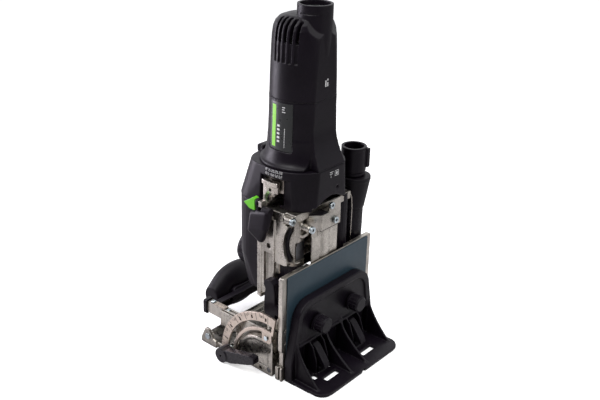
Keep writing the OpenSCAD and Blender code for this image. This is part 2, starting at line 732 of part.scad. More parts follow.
module top_cover() {
  color([0.16, 0.15, 0.17]) difference() {
    union() {
      cover_outline(0);
      // round seat of the dial
      cyl_y(0, dial_z, 70, 88.5, 13);
    }
    // cavity, closed at the rear
    difference() {
      cover_outline(3);
      box([-50, 50, 157.5], [50, 100, 170]);
    }
    // clear the gear housing
    box([-60, 30, 60], [60, 49.6, 200]);
    box([-36.2, 49, 60], [36.2, 52.1, 200]);
    cyl_y(0, dial_z, 60, 100, 5+fit);
    box([-50, 40, housing_z], [50, 100, 170]);
  }
}
module shroud_outline() {
  front_z = 160.1;
  rear_z = 196.5;
  hull() {
    translate([0, motor_y, front_z]) cylinder(h = 0.5, r = 42, $fn = 64);
    translate([0, motor_y, rear_z]) cylinder(h = 0.5, r = 40.4, $fn = 64);
    for (s = [-1, 1]) {
      translate([s*17.5, 64.5, front_z]) cylinder(h = 0.5, r = 24, $fn = 40);
      translate([s*16, 55, rear_z]) cylinder(h = 0.5, r = 22, $fn = 40);
    }
  }
}
module shroud() {
  color([0.15, 0.14, 0.16]) difference() {
    union() {
      intersection() {
        shroud_outline();
        box([-60, 0.3, 150], [60, 100, 210]);
      }
      // saddle of the switch
      hull() {
        box([-11.5, 74.6, 184], [11.5, 77.4, 202]);
        box([-11.5, 70, 184], [11.5, 72, 190]);
      }
    }
    // cavity, flat on the -Y side
    intersection() {
      hull() {
        translate([0, motor_y, 163.2]) cylinder(h = 28, r = 37.6, $fn = 48);
        translate([0, 56, 163.2]) cylinder(h = 24, r = 25, $fn = 48);
      }
      box([-60, 3, 150], [60, 100, 210]);
    }
    intersection() {
      motor_cyl(158, 175, 36.5);
      box([-60, 3, 150], [60, 100, 210]);
    }
    motor_cyl(190, 200, 31);
    turned([[0, 196.98], [38.6, 196.98], [38.6, 210], [0, 210]]);
    // arch in the -Y wall
    prism_y(-2, 3.8) polygon([[-22, 150], [-20, 163.5], [-8, 168.4], [0, 170], [8, 168.4],
      [20, 163.5], [22, 150]]);
    box([-23.6, -1, 155], [23.6, 8, 163.2]);
    // pocket of the depth selector
    box([-60, 16.5, 150], [-36.2, 50, 189]);
    // flat under the switch
    box([-11.6, 77.42, 178], [11.6, 95, 205]);
    // small recess in the -Y wall, and the rear right pocket
    cyl_y(8.5, 176, -2, 2.2, 1.6, 24);
    box([30, 8, 187], [42, 13, 195]);
  }
}
module motor_housing() {
  color([0.16, 0.15, 0.17]) difference() {
    union() {
      intersection() {
        turned(grip_profile);
        box([-50, 10.6, 190], [50, 90, 300]);
      }
      // -Y panel, blending into the shroud
      intersection() {
        prism_x(-19, 19) polygon([[20, 197], [0.5, 197], [0.6, 198.4],
          for (i = [0:12]) let(t = 1-i/12) [10.6-9.6*pow(t, 1.8), 232-33*t],
          [20, 232]]);
        prism_y(-1, 21) polygon([[-18.8, 196], [18.8, 196], [15.6, 232.5], [-15.6, 232.5]]);
      }
    }
    // motor cavity, flat on the -Y side
    intersection() {
      turned([[0, 190], [26.2, 190], [27.2, 204], [27.2, 255], [26.4, 262], [0, 262]]);
      box([-40, 13, 180], [40, 90, 270]);
    }
    // label recess
    arc_sweep(motor_y, 155, 50) polygon([[30, 212], [34, 212], [34, 256.4], [30, 256.4]]);
  }
}
module vent_slots(z0, z1) {
  for (s = [-1, 1]) for (i = [0:vents-1]) let(x = s*25.5, y = 45.4-i*5.35)
    box([x-8.5, y-vent_w/2, z0], [x+8.5, y+vent_w/2, z1]);
}
// everything behind the slanted plane beside the collar
module collar_facet(side) {
  point = [16.9, 10.6, 308.5];
  slope = [0.293, 0.844]/0.45;
  hull() for (p = [[40, -5], [0, -5], [0, 40], [40, 40]]) translate([side*p[0], p[1], 0]) {
    z = point[2]+slope[0]*(point[0]-p[0])+slope[1]*(p[1]-point[1]);
    translate([0, 0, z]) cylinder(h = 400-z, r = 0.01, $fn = 4);
  }
}
module rear_cap() {
  color([0.16, 0.15, 0.17]) difference() {
    union() {
      difference() {
        intersection() {
          turned(cap_profile);
          box([-50, 10.6, 250], [50, 90, 345]);
        }
        for (s = [-1, 1]) collar_facet(s);
      }
      // cable collar
      translate([0, cable_y, 290]) cylinder(h = 20, r1 = 14.7, r2 = collar_r, $fn = 96);
      cyl_z(0, cable_y, 309.9, top_z, collar_r, 96);
    }
    // motor cavity
    intersection() {
      turned([[0, 250], [26.3, 250], [25.8, 300], [24.8, 311], [21.5, 317], [0, 317]]);
      box([-40, 13.2, 240], [40, 90, 330]);
    }
    // socket mouth and the seat of the contact block
    cyl_z(0, cable_y, 330.2, top_z+1, socket_r, 96);
    cyl_z(0, cable_y, 312, 330.3, socket_r-1, 64);
    // groove round the collar
    arc_sweep(cable_y, 168, 66) translate([collar_r-0.7, 332]) square([2, 1.3]);
    // vent slots, cut only into the skin ahead of the rounded end
    vent_slots(308, 337);
    difference() {
      vent_slots(291, 308.1);
      turned([[0, 280], [28.1, 280], [27.2, 312], [0, 312]]);
    }
  }
}
module cable_socket() {
  color([0.20, 0.20, 0.21]) difference() {
    union() {
      cyl_z(0, cable_y, 319, 323, socket_r-1.05, 64);
      cyl_z(0, cable_y, 323, 329.8, 9.6);
    }
    cyl_z(0, cable_y, 321, 331, 7.4);
    box([-14, cable_y-1.2, 325], [14, cable_y+1.2, 331]);
  }
}
module label_plate() {
  color([0.24, 0.25, 0.25]) arc_sweep(motor_y, 155.3, 49.4) polygon(label_profile);
}
// hex socket screw along y, with its head face at y
module screw_y(x, z, y, r) {
  difference() {
    union() {
      cyl_y(x, z, y, y+2.4, r, 32);
      cyl_y(x, z, y+2.3, y+5.5, 1.6, 24);
    }
    cyl_y(x, z, y-1, y+1.1, 1.5, 6);
  }
}
module housing_screws() {
  color([0.76, 0.80, 0.84]) {
    // short screws of the cover
    for (p = cover_screws) difference() {
      union() {
        cyl_y(p[0], p[1], -4, -1.65, 3.2, 32);
        cyl_y(p[0], p[1], -1.7, 0, 1.25, 24);
      }
      cyl_y(p[0], p[1], -5, -2.9, 1.5, 6);
    }
    screw_y(long_screw_x, long_screw_z, -3.95, 3.4);
    screw_y(wall_screw_x, wall_screw_z, 8.35, 3.3);
  }
}
module stator() {
  color([0.35, 0.30, 0.28]) difference() {
    intersection() {
      union() {
        motor_cyl(206, 250, 27);
        motor_cyl(202.5, 254, 23.6);
      }
      box([-40, 13.1, 200], [40, 90, 260]);
    }
    motor_cyl(200, 256, 18);
  }
}
// tube on the motor axis
module motor_ring(z0, z1, r, bore) {
  difference() {
    motor_cyl(z0, z1, r);
    motor_cyl(z0-1, z1+1, bore);
  }
}
module armature_bearings() {
  color([0.65, 0.66, 0.68]) {
    motor_ring(176, 184, r = 11, bore = 4.06);
    motor_ring(298, 305, r = 9.5, bore = 4.06);
    // bearing plates
    difference() {
      motor_ring(174, 190, r = 36.3, bore = 11.02);
      box([-40, -5, 170], [40, 3.3, 195]);
    }
    difference() {
      motor_ring(296, 307, r = 25.1, bore = 9.52);
      box([-30, 0, 290], [30, 15.5, 310]);
      for (s = [-1, 1]) box([s*16-6, motor_y+4, 290], [s*16+6, motor_y+22, 310]);
    }
  }
}
module brush_gear() {
  color([0.45, 0.38, 0.20]) for (s = [-1, 1]) {
    // holder
    difference() {
      box([s*18.8-6.2, motor_y-5, 272], [s*18.8+6.2, motor_y+5, 284]);
      box([s*17-9, motor_y-2.6, 274.4], [s*17+9, motor_y+2.6, 281.6]);
    }
    // brush
    box([s*14.65-4.35, motor_y-2.5, 274.5], [s*14.65+4.35, motor_y+2.5, 281.5]);
  }
}
module switch_module() {
  color([0.15, 0.25, 0.18]) union() {
    box([-16, 62, 110], [16, 64, 156]);
    box([-10, 64, 130], [10, 78, 152]);
    cyl_y(-8, 118, 64, 74, 4, 24);
    cyl_y(6, 119, 64, 70, 5, 24);
  }
}
module depth_stop_bar() {
  color([0.78, 0.76, 0.72]) difference() {
    union() {
      arc_sweep(motor_y, 168, 24)
        polygon([[39.4, 161], [42.6, 161], [42.6, 186], [39.4, 186]]);
      arc_sweep(motor_y, 168, 24)
        polygon([[39.4, 182], [44.2, 182], [44.2, 186], [39.4, 186]]);
    }
    // stepped front edge
    for (i = [0:3]) translate([0, motor_y, 0]) rotate([0, 0, 176.5+i*4])
      box([37, -1, 158], [46, 4.6, 164.5+i*3.6]);
    // centre hole
    translate([0, motor_y, 0]) rotate([0, 0, 180]) box([38, -1.2, 176], [46, 1.6, 179]);
  }
}
module depth_lever() {
  // centre and radius of the balls that shape the handle
  balls = [[[-50.6, 32, 157], 4.4], [[-51, 49, 152.6], 3.6], [[-53, 37.5, 133], 4],
    [[-53, 49, 139], 4], [[-53, 33, 144], 4]];
  color([0.11, 0.10, 0.12]) difference() {
    union() {
      // hub on the selector shaft
      cyl_y(selector_x, selector_z, 28.5, 37.5, 3.6, 32);
      // eye that carries the locking lever
      box([-52.6, 42, 154], [-47.6, 44.9, 163]);
      cyl_y(selector_x, lock_lever_z, 42, 44.9, 4, 32);
      hull() for (ball = balls) translate(ball[0]) sphere(r = ball[1], $fn = 24);
    }
    cyl_y(selector_x, lock_lever_z, 41, 46, lock_lever_r+fit);
  }
}
module lock_lever() {
  color([0.35, 0.75, 0.18]) prism_x(-53.5, -47.5)
    polygon([[45.5, 158.4], [45.5, 169.6], [48, 170.6], [52, 167.5], [59, 163.2], [52, 158.6]]);
  color([0.75, 0.75, 0.76]) cyl_y(selector_x, lock_lever_z, 37.6, 45.6, lock_lever_r);
  color([0.75, 0.75, 0.76]) prism_y(37.6, 41.4) translate([-53, 163.2]) square([6, 5.6]);
}
module switch_slider() {
  color([0.10, 0.10, 0.11]) difference() {
    hull() {
      box([-8, 77.5, 186], [8, 81, 191]);
      box([-8, 77.5, 194], [8, 85.6, 199.5]);
      box([-8, 77.5, 199], [8, 82, 201.5]);
    }
    // thumb grooves
    for (i = [0:2]) box([-6.4, 81.4+i*1.1, 188+i*3.2], [6.4, 90, 189.3+i*3.2]);
  }
}
module spindle_lock() {
  color([0.12, 0.12, 0.13]) union() {
    cyl_x(lock_y, lock_z, 23, 50.4, 3);
    cyl_x(lock_y, lock_z, 50.3, 53, 5);
  }
}
module width_dial() {
  color([0.13, 0.12, 0.14]) difference() {
    translate([0, 84.5, dial_z]) rotate([-90, 0, 0]) rotate_extrude($fn = 64)
      polygon([[0, -12], [5, -12], [5, 4.2], [17.4, 4.2], [18.8, 6], [18.8, 17], [17.6, 20],
        [14, 22.2], [7, 23], [0, 23.2]]);
    // finger flutes
    for (i = [0:11]) translate([0, 0, dial_z]) rotate([0, i*30, 0])
      translate([19.8, 92, 0]) rotate([-90, 0, 0]) cylinder(h = 20, r = 1.9, $fn = 16);
  }
}

// ---------- drive ----------
shaft_r = 4;             // armature shaft and spindle journal
shaft_bore = 4.02;       // bore of the parts pressed on the shaft
gear_z = 141.2;
gear_w = 7.6;
pinion_teeth = 19;

// toothed wheel from its root and tip radii
module gear(teeth, root_r, tip_r) {
  linear_extrude(gear_w) union() {
    circle(r = root_r, $fn = 96);
    for (i = [0:teeth-1]) rotate(i*360/teeth)
      polygon([[root_r-0.6, -0.95], [tip_r, -0.42], [tip_r, 0.42], [root_r-0.6, 0.95]]);
  }
}
module armature() {
  color([0.50, 0.42, 0.36]) union() {
    motor_cyl(139.8, 312, shaft_r);
    motor_cyl(208, 248, 17.4);
    motor_cyl(203, 253, 14);
  }
}
module commutator() {
  color([0.75, 0.50, 0.30]) motor_ring(270, 288, r = 10, bore = shaft_bore);
}
module cooling_fan() {
  blades = 11;
  color([0.20, 0.20, 0.21]) difference() {
    union() {
      motor_cyl(192.5, 194, 23.4);
      motor_cyl(192.5, 201, 7);
      for (i = [0:blades-1]) translate([0, motor_y, 193.5]) rotate(i*360/blades)
        translate([6, -0.6, 0]) cube([17.2, 1.2, 7.5]);
    }
    motor_cyl(191, 202, shaft_bore);
  }
}
module drive_gear() {
  color([0.62, 0.62, 0.64]) difference() {
    union() {
      translate([0, motor_y, gear_z]) gear(teeth = 36, root_r = 16.6, tip_r = 17.9);
      motor_cyl(140.2, 151, 8);
    }
    motor_cyl(139, 155, shaft_bore);
  }
}
module rocker_arm() {
  color([0.58, 0.58, 0.60]) difference() {
    union() {
      motor_cyl(112, 136, 11.6);
      hull() {
        motor_cyl(116, 132, 9.5, 32);
        cyl_z(0, spindle_y+4, 116, 132, 6, 32);
      }
      spindle_cyl(96, 136, 6);
    }
    motor_cyl(111, 137, boss_r+fit);
    spindle_cyl(90, 152, shaft_r+fit);
  }
}
module spindle() {
  color([0.74, 0.74, 0.76]) difference() {
    union() {
      spindle_cyl(92, 149, shaft_r);
      spindle_cyl(58, 95.8, 5);
      spindle_cyl(44, 92, 6.6);
      // turned half a tooth to mesh
      translate([0, spindle_y, gear_z]) rotate(180/pinion_teeth)
        gear(teeth = pinion_teeth, root_r = 8, tip_r = 9.25);
    }
    spindle_cyl(40, 60, 3.02);
    // spanner flats
    for (a = [0, 180]) translate([0, spindle_y, 60]) rotate(a) box([5.4, -5, 0], [9, 5, 8]);
  }
}
module cutter() {
  color([0.80, 0.80, 0.82]) union() {
    spindle_cyl(36, 59.6, 3);
    difference() {
      spindle_cyl(2.5, 36.2, cutter_r);
      // two flutes
      for (a = [0, 180]) translate([0, spindle_y, 0]) rotate(a) box([0.6, 0.2, 1], [4, 4, 32]);
    }
  }
}

base_plate();
base_pad();
front_bar();
frame_casting();
guide_rod(-1);  // guide_rod_left
guide_rod(1);  // guide_rod_right
plunge_spring(-1);  // plunge_spring_left
plunge_spring(1);  // plunge_spring_right
fence_column(-1);  // fence_column_left
fence_column(1);  // fence_column_right
column_caps();
height_scale();
handle_bracket();
handle_grip();
dust_duct();
dust_sleeve();
dust_spigot();
support_bracket();
frame_screws();
release_lever();
knob(-1);  // knob_left
knob(1);  // knob_right
stop_latch(-1);  // stop_latch_left
stop_latch(1);  // stop_latch_right
fence_carriage();
angle_clamp_stud();
hinge_pins();
height_clamp_lever();
thickness_slide();
fence_plate();
tilt_scale();
fence_screws();
angle_clamp_lever();
gear_housing();
gear_cover();
guide_bushes();
top_cover();
shroud();
motor_housing();
rear_cap();
cable_socket();
label_plate();
housing_screws();
stator();
armature_bearings();
brush_gear();
switch_module();
depth_stop_bar();
depth_lever();
lock_lever();
switch_slider();
spindle_lock();
width_dial();
armature();
commutator();
cooling_fan();
drive_gear();
rocker_arm();
spindle();
cutter();
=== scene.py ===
"""Looks of the plunging joint cutter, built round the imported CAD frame.

The tool stands on the floor at z = 0 with its motor upright, the motor axis at x = 0, y = 37 mm.
The front is -Y and the left is -X. Piece sizes are in mm; MM turns them into scene metres.
"""
import json
import math
import bmesh
import bpy
from mathutils import Matrix, Vector
from mathutils.bvhtree import BVHTree


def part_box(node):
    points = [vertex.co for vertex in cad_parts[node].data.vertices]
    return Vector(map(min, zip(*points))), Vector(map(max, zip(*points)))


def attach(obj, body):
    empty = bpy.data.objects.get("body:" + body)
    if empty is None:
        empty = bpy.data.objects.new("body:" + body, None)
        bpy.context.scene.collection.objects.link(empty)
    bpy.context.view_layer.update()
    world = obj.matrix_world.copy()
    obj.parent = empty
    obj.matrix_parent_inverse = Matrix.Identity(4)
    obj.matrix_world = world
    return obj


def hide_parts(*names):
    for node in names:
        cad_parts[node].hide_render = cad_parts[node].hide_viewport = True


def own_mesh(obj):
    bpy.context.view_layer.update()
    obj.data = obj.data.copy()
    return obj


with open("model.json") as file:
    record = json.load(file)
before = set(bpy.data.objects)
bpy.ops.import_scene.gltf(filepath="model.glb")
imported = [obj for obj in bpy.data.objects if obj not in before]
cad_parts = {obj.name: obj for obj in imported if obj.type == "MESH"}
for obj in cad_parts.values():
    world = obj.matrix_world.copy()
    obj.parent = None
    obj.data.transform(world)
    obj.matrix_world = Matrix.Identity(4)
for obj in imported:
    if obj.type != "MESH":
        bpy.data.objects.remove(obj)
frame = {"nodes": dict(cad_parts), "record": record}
NODES = frame["nodes"]
SLOT_OF = {part["node"]: part["material_slot"] for part in frame["record"]["subparts"]}
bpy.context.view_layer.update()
SCENE = bpy.context.scene
MM = 0.001

# driving places, mm
MOTOR_Y = 37.0            # motor axis, at x = 0
ROD_X, ROD_Y = 32.0, 17.0  # guide rods, at -ROD_X and +ROD_X
Z_AXIS = (0, 0, 1)


# ------------------------------------------------------------------ node trees
class Nodes:
    """A cleared node tree. Inputs are keyed by index or name and take a value or a socket."""

    def __init__(self, owner, output):
        owner.use_nodes = True
        self.tree = owner.node_tree
        self.tree.nodes.clear()
        self.output = self.node(output)

    def feed(self, socket, value):
        if isinstance(value, bpy.types.NodeSocket):
            self.tree.links.new(value, socket)
        elif socket.type == "RGBA":
            socket.default_value = (*value, 1.0)
        else:
            socket.default_value = value

    def node(self, kind, inputs=None, **props):
        node = self.tree.nodes.new(kind)
        for key, value in props.items():
            setattr(node, key, value)
        for key, value in (inputs or {}).items():
            self.feed(node.inputs[key], value)
        return node

    def remap(self, value, span, to=(0.0, 1.0)):
        return self.node("ShaderNodeMapRange",
                         {0: value, 1: span[0], 2: span[1], 3: to[0], 4: to[1]}).outputs[0]


MATS = {}


class Look(Nodes):
    """A principled material, kept in MATS under its name."""

    def __init__(self, name):
        MATS[name] = self.mat = bpy.data.materials.new(name)
        super().__init__(self.mat, "ShaderNodeOutputMaterial")
        self.bsdf = self.node("ShaderNodeBsdfPrincipled")
        self.feed(self.output.inputs[0], self.bsdf.outputs[0])
        self.coords = self.node("ShaderNodeTexCoord")

    def noise(self, scale, detail=4.0, rough=0.55, stretch=None, distortion=0.0):
        vector = self.coords.outputs["Object"]
        if stretch:
            vector = self.node("ShaderNodeMapping", {0: vector, "Scale": stretch}).outputs[0]
        return self.node("ShaderNodeTexNoise", {
            "Vector": vector, "Scale": scale, "Detail": detail,
            "Roughness": rough, "Distortion": distortion}).outputs[0]

    def math(self, operation, a, b, clamp=False):
        return self.node("ShaderNodeMath", {0: a, 1: b},
                         operation=operation, use_clamp=clamp).outputs[0]

    def mix(self, a, b, by, amount=None):
        """Colour a turning into b where the mask `by`, times the amount, rises to 1."""
        if amount is not None:
            by = self.math("MULTIPLY", by, amount)
        return self.node("ShaderNodeMix", {0: by, 6: a, 7: b}, data_type="RGBA").outputs[2]

    def round_normal(self, radius, samples=6):
        return self.node("ShaderNodeBevel", {"Radius": radius * MM}, samples=samples).outputs[0]

    def worn_edge(self, patches, radius, span, least):
        """1 along edges, 0 on faces, broken up by the noise patches."""
        rounded = self.round_normal(radius, samples=4)
        normal = self.node("ShaderNodeNewGeometry").outputs["Normal"]
        facing = self.node("ShaderNodeVectorMath", {0: rounded, 1: normal},
                           operation="DOT_PRODUCT").outputs["Value"]
        edge = self.remap(self.math("SUBTRACT", 1.0, facing), span=(0.02, 0.22))
        return self.math("MULTIPLY", edge, self.remap(patches, span, to=(least, 1.0)))

    def occlusion(self, distance):
        return self.node("ShaderNodeAmbientOcclusion", {"Distance": distance * MM},
                         samples=4).outputs["AO"]

    def bump(self, height, strength, distance, normal=None):
        inputs = {"Height": height, "Strength": strength, "Distance": distance * MM}
        if normal is not None:
            inputs["Normal"] = normal
        return self.node("ShaderNodeBump", inputs).outputs[0]

    def set(self, **values):
        for key, value in values.items():
            self.feed(self.bsdf.inputs[key.replace("_", " ")], value)


def scaled(color, gain, lift=0.0):
    return tuple(min(1, c * gain + lift) for c in color)


# ------------------------------------------------------------------ materials
def plastic(name, color, rough=0.42, grain=1500.0, grain_bump=0.10, edge_color=None,
            spec=0.5, blotch=0.25):
    """Moulded plastic with a fine spark-eroded grain, faint flow marks and polished edges."""
    look = Look(name)
    flow = look.noise(22.0, detail=3.0, rough=0.5)
    patches = look.noise(160.0, rough=0.6)
    base = look.mix(scaled(color, 1 - blotch), scaled(color, 1 + blotch),
                    by=look.remap(flow, span=(0.32, 0.68)))
    specks = look.remap(look.noise(900.0, detail=2.0, rough=0.5), span=(0.62, 0.72))
    base = look.mix(base, scaled(color, 2.2, lift=0.01), by=specks, amount=0.12)
    edge = look.worn_edge(patches, radius=0.6, span=(0.38, 0.62), least=0.25)
    base = look.mix(base, edge_color or scaled(color, 2.4, lift=0.012), by=edge, amount=0.55)
    roughness = look.remap(patches, span=(0.3, 0.7), to=(rough - 0.05, rough + 0.06))
    roughness = look.math("SUBTRACT", roughness, look.math("MULTIPLY", edge, 0.10))
    height = look.noise(grain, detail=2.0, rough=0.6)
    normal = look.bump(height, grain_bump, distance=0.05, normal=look.round_normal(0.35))
    look.set(Base_Color=base, Roughness=roughness, Normal=normal, Specular_IOR_Level=spec,
             Coat_Weight=0.0, Coat_Roughness=0.25)
    return look


def rubber(name, color):
    """Soft black rubber with a little dust."""
    look = Look(name)
    patches = look.noise(120.0, rough=0.6)
    base = look.mix(scaled(color, 0.8), scaled(color, 1.25),
                    by=look.remap(look.noise(30.0), span=(0.3, 0.7)))
    dust = look.remap(look.noise(420.0, detail=5.0, rough=0.7), span=(0.58, 0.74))
    base = look.mix(base, (0.10, 0.09, 0.10), by=dust, amount=0.05)
    roughness = look.remap(patches, span=(0.3, 0.7), to=(0.40, 0.52))
    normal = look.bump(look.noise(1300.0, detail=2.0, rough=0.5), strength=0.10, distance=0.05,
                       normal=look.round_normal(0.5))
    look.set(Base_Color=base, Roughness=roughness, Normal=normal, Specular_IOR_Level=0.20,
             Sheen_Weight=0.02, Sheen_Roughness=0.5)


def metal(name, color, rough, stain, skin, brushed=None, stain_and_shade_color=(0.16, 0.13, 0.10)):
    """Cast or machined metal: stains, painted shade darkening the hollows, rubbed bright edges
    and a bumpy skin.
    """
    look = Look(name)
    blots = look.noise(38.0, detail=5.0, rough=0.65, distortion=0.6)
    patches = look.noise(210.0, detail=5.0, rough=0.7)
    fine = look.noise(900.0, detail=3.0, rough=0.6)
    base = look.mix(scaled(color, 0.86), scaled(color, 1.12),
                    by=look.remap(patches, span=(0.3, 0.7)))
    base = look.mix(base, scaled(color, 0.42), by=look.remap(blots, span=(0.46, 0.72)),
                    amount=stain)
    streaks = look.noise(90.0, rough=0.6, stretch=(1.0, 1.0, 0.22), distortion=0.4)
    base = look.mix(base, scaled(color, 0.5), by=look.remap(streaks, span=(0.50, 0.70)),
                    amount=0.5 * stain)
    # painted shade: ambient occlusion darkens corners and recesses towards the stain colour
    cavity_shade = look.remap(look.occlusion(5.0), span=(0.40, 0.97), to=(1.0, 0.0))
    base = look.mix(base, stain_and_shade_color, by=cavity_shade, amount=0.9)
    # real stains: fine spots in the same colour
    base = look.mix(base, stain_and_shade_color, by=look.remap(fine, span=(0.66, 0.74)),
                    amount=0.35 * stain)
    mottle = look.noise(430.0, detail=5.0, rough=0.75, distortion=0.8)
    base = look.mix(base, scaled(color, 0.42), by=look.remap(mottle, span=(0.50, 0.66)),
                    amount=0.34 * stain)
    edge = look.worn_edge(patches, radius=0.55, span=(0.35, 0.6), least=0.3)
    base = look.mix(base, (0.86, 0.84, 0.80), by=edge, amount=0.6)
    roughness = look.remap(patches, span=(0.3, 0.7), to=(rough - 0.07, rough + 0.12))
    roughness = look.math("ADD", roughness, look.math("MULTIPLY", cavity_shade, 0.2), clamp=True)
    height = look.math("ADD", look.math("MULTIPLY", patches, 0.6),
                       look.math("MULTIPLY", fine, 0.4))
    normal = look.round_normal(0.35)
    if brushed:
        lines = look.noise(300.0, detail=3.0, rough=0.6, stretch=brushed)
        height = look.math("ADD", height, look.math("MULTIPLY", lines, 1.5))
    normal = look.bump(height, 0.16 * skin, distance=0.25, normal=normal)
    look.set(Base_Color=base, Roughness=roughness, Metallic=1.0, Normal=normal)


def lever(name):
    """Green moulded tip on a plated lever: everything below the tip's y is bare metal."""
    tip_y = 0.04545  # metres, in object space
    look = plastic(name, (0.12, 0.50, 0.015), rough=0.34, grain=900.0, grain_bump=0.04,
                   edge_color=(0.30, 0.75, 0.10), blotch=0.08)
    coords = look.node("ShaderNodeTexCoord").outputs["Object"]
    y = look.node("ShaderNodeSeparateXYZ", {0: coords}).outputs["Y"]
    bare = look.math("LESS_THAN", y, tip_y)
    green = look.bsdf.inputs["Base Color"].links[0].from_socket
    look.set(Base_Color=look.mix(green, (0.50, 0.47, 0.43), by=bare), Metallic=bare)


def paint(name, color):
    """Printed mark: slightly uneven ink."""
    look = Look(name)
    base = look.mix(scaled(color, 0.86), color,
                    by=look.remap(look.noise(600.0), span=(0.35, 0.65)))
    look.set(Base_Color=base, Roughness=0.45,
             Normal=look.bump(look.noise(1500.0), strength=0.1, distance=0.02))


metal("cast_metal", (0.58, 0.545, 0.49), rough=0.27, stain=0.85, skin=1.9,
      stain_and_shade_color=(0.075, 0.062, 0.050))
metal("plate_metal", (0.58, 0.54, 0.485), rough=0.30, stain=0.75, skin=1.1,
      stain_and_shade_color=(0.10, 0.082, 0.066))
metal("scale_nickel", (0.60, 0.51, 0.44), rough=0.32, stain=0.35, skin=0.5,
      stain_and_shade_color=(0.16, 0.12, 0.09))
metal("bright_steel", (0.60, 0.555, 0.50), rough=0.22, stain=0.55, skin=0.5,
      stain_and_shade_color=(0.09, 0.07, 0.055))
metal("dark_steel", (0.16, 0.16, 0.17), rough=0.32, stain=0.4, skin=0.5)
metal("screw_zinc", (0.60, 0.68, 0.72), rough=0.20, stain=0.30, skin=0.4,
      stain_and_shade_color=(0.10, 0.10, 0.10))
metal("spring_steel", (0.34, 0.34, 0.36), rough=0.28, stain=0.2, skin=0.3)
plastic("black_plastic", (0.0054, 0.0034, 0.0066), rough=0.37, grain=1700.0, grain_bump=0.08,
        spec=0.20, edge_color=(0.020, 0.017, 0.024))
plastic("black_smooth", (0.0042, 0.0026, 0.0052), rough=0.27, grain=1200.0, grain_bump=0.05,
        spec=0.26, edge_color=(0.017, 0.014, 0.020))
rubber("black_rubber", (0.0050, 0.0034, 0.0060))
plastic("pad_blue", (0.026, 0.052, 0.072), rough=0.36, grain=900.0, grain_bump=0.05,
        edge_color=(0.12, 0.15, 0.17), blotch=0.10, spec=0.4)
lever("lever_green")
plastic("label_grey", (0.020, 0.0215, 0.0215), rough=0.30, grain=2200.0, grain_bump=0.06,
        blotch=0.08, spec=0.4)
metal("bronze", (0.50, 0.33, 0.14), rough=0.4, stain=0.4, skin=1.0)
metal("copper", (0.62, 0.30, 0.16), rough=0.3, stain=0.4, skin=0.5)
metal("winding", (0.45, 0.17, 0.06), rough=0.35, stain=0.3, skin=1.0)
metal("lamination", (0.20, 0.19, 0.18), rough=0.45, stain=0.4, skin=0.6, brushed=(1, 1, 40))
plastic("circuit_green", (0.02, 0.10, 0.03), rough=0.35)
paint("ink_white", (0.72, 0.72, 0.72))
paint("ink_green", (0.22, 0.62, 0.03))
paint("ink_dark", (0.02, 0.018, 0.016))

for node_name, cad_part in NODES.items():
    cad_part.data.materials.clear()
    cad_part.data.materials.append(MATS[SLOT_OF[node_name]])
    for face in cad_part.data.polygons:
        face.material_index = 0


# ------------------------------------------------------------------ mesh finish of the CAD nodes
def modifier(part, name, kind, **settings):
    added = part.modifiers.new(name, kind)
    for key, value in settings.items():
        setattr(added, key, value)


def prepare(part):
    """Drop the stored shading, shade smooth and weld loose seams."""
    mesh = part.data
    for name in ("custom_normal", "sharp_edge", "sharp_face"):
        if name in mesh.attributes:
            mesh.attributes.remove(mesh.attributes[name])
    for face in mesh.polygons:
        face.use_smooth = True
    modifier(part, "weld", "WELD", merge_threshold=0.00001)


def soften(part, voxel, passes):
    """Moulded or cast part: every edge gets a small even radius."""
    modifier(part, "skin", "REMESH", mode="VOXEL", voxel_size=voxel * MM, use_smooth_shade=True)
    modifier(part, "soften", "SMOOTH", factor=0.5, iterations=passes)
    modifier(part, "lighten", "DECIMATE", ratio=0.35)


def chamfer(part, width, degrees):
    modifier(part, "edge", "BEVEL", width=width * MM, segments=2, limit_method="ANGLE",
             angle_limit=math.radians(degrees))


def even_normals(part):
    modifier(part, "normals", "WEIGHTED_NORMAL", keep_sharp=True)


# moulded and cast parts: voxel size in mm, smoothing passes
SOFT = {
    "shroud": (0.6, 5), "motor_housing": (0.6, 4), "rear_cap": (0.5, 3), "top_cover": (0.7, 5),
    "support_bracket": (0.6, 4), "handle_grip": (0.8, 8), "handle_bracket": (0.6, 4),
    "depth_lever": (0.45, 4), "release_lever": (0.45, 4), "angle_clamp_lever": (0.4, 4),
    "height_clamp_lever": (0.45, 4), "gear_housing": (0.55, 3), "gear_cover": (0.45, 3),
    "frame_casting": (0.6, 3), "fence_carriage": (0.55, 3), "fence_plate": (0.55, 3),
    "dust_duct": (0.6, 3), "dust_sleeve": (0.55, 3), "dust_spigot": (0.45, 2),
    "lock_lever": (0.3, 2), "switch_slider": (0.35, 3), "width_dial": (0.45, 3),
    "column_caps": (0.4, 3), "front_bar": (0.4, 2), "base_plate": (0.5, 2),
    "thickness_slide": (0.45, 2), "rocker_arm": (0.6, 2),
}
for node_name, cad_part in NODES.items():
    prepare(cad_part)
    if node_name in SOFT:
        soften(cad_part, *SOFT[node_name])
    elif not node_name.startswith("plunge_spring"):
        # machined part: small chamfers
        chamfer(cad_part, width=0.25, degrees=32.0)
        cad_part.modifiers["edge"].use_clamp_overlap = True
        even_normals(cad_part)


# ------------------------------------------------------------------ mesh helpers, all in mm
def link_new(name, data):
    added = bpy.data.objects.new(name, data)
    SCENE.collection.objects.link(added)
    return added


def add(name, bm, body, slot, ink=None, bevel=0.0, smooth=True):
    """Make the bmesh an object that rides on a body; ink overrides the slot's material."""
    bmesh.ops.remove_doubles(bm, verts=bm.verts, dist=1e-7)
    bmesh.ops.recalc_face_normals(bm, faces=bm.faces)
    mesh = bpy.data.meshes.new(name)
    bm.to_mesh(mesh)
    bm.free()
    piece = link_new(name, mesh)
    mesh.materials.append(MATS[ink or slot])
    if bevel:
        chamfer(piece, bevel, degrees=35)
    if smooth:
        for face in mesh.polygons:
            face.use_smooth = True
        even_normals(piece)
    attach(piece, body)
    return piece


